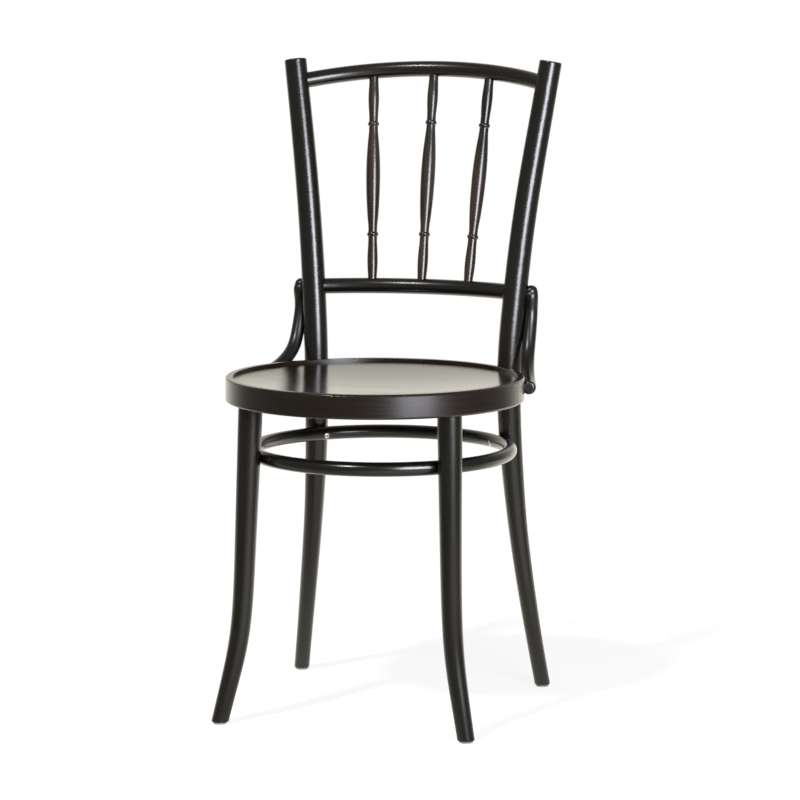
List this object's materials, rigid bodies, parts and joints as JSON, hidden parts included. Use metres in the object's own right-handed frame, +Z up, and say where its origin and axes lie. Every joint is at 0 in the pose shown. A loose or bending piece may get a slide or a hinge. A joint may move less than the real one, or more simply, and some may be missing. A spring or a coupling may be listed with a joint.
{
  "type": "bentwood bistro chair",
  "caption": "Bentwood bistro chair: round framed seat, bowed back rails with turned spindles, curved side braces and a bent hoop inside the legs, in dark stained wood.",
  "frame": {"origin": "on the floor, under the middle of the whole chair's outline", "axes": "+Z up, -Y to the chair's front, +X to the chair's left as its sitter has it, which is the right-hand side seen from the front"},
  "size_m": [0.4154, 0.4801, 0.8795],
  "materials": {
    "stained_beech": "satin",
    "turned_beech": "satin",
    "stained_plywood": "gloss",
    "screw_steel": "zinc plated",
    "nail_steel": "bright",
    "glide_plastic": "matte"
  },
  "bodies": {
    "root": {"seat_ring": "stained_beech", "seat_panel": "stained_plywood", "leg_hoop": "stained_beech", "back_post_left": "stained_beech", "back_post_right": "stained_beech", "front_leg_left": "stained_beech", "front_leg_right": "stained_beech", "top_rail": "stained_beech", "lower_rail": "stained_beech", "spindle_left": "turned_beech", "spindle_centre": "turned_beech", "spindle_right": "turned_beech", "side_brace_left": "stained_beech", "side_brace_right": "stained_beech", "post_coach_screws": "screw_steel", "post_washers": "screw_steel", "hoop_screws": "screw_steel", "brace_upper_screws": "screw_steel", "brace_lower_screws": "screw_steel", "glide_front_left": "glide_plastic", "glide_front_right": "glide_plastic", "glide_rear_left": "glide_plastic", "glide_rear_right": "glide_plastic", "glide_nails": "nail_steel"}
  },
  "joints": []
}
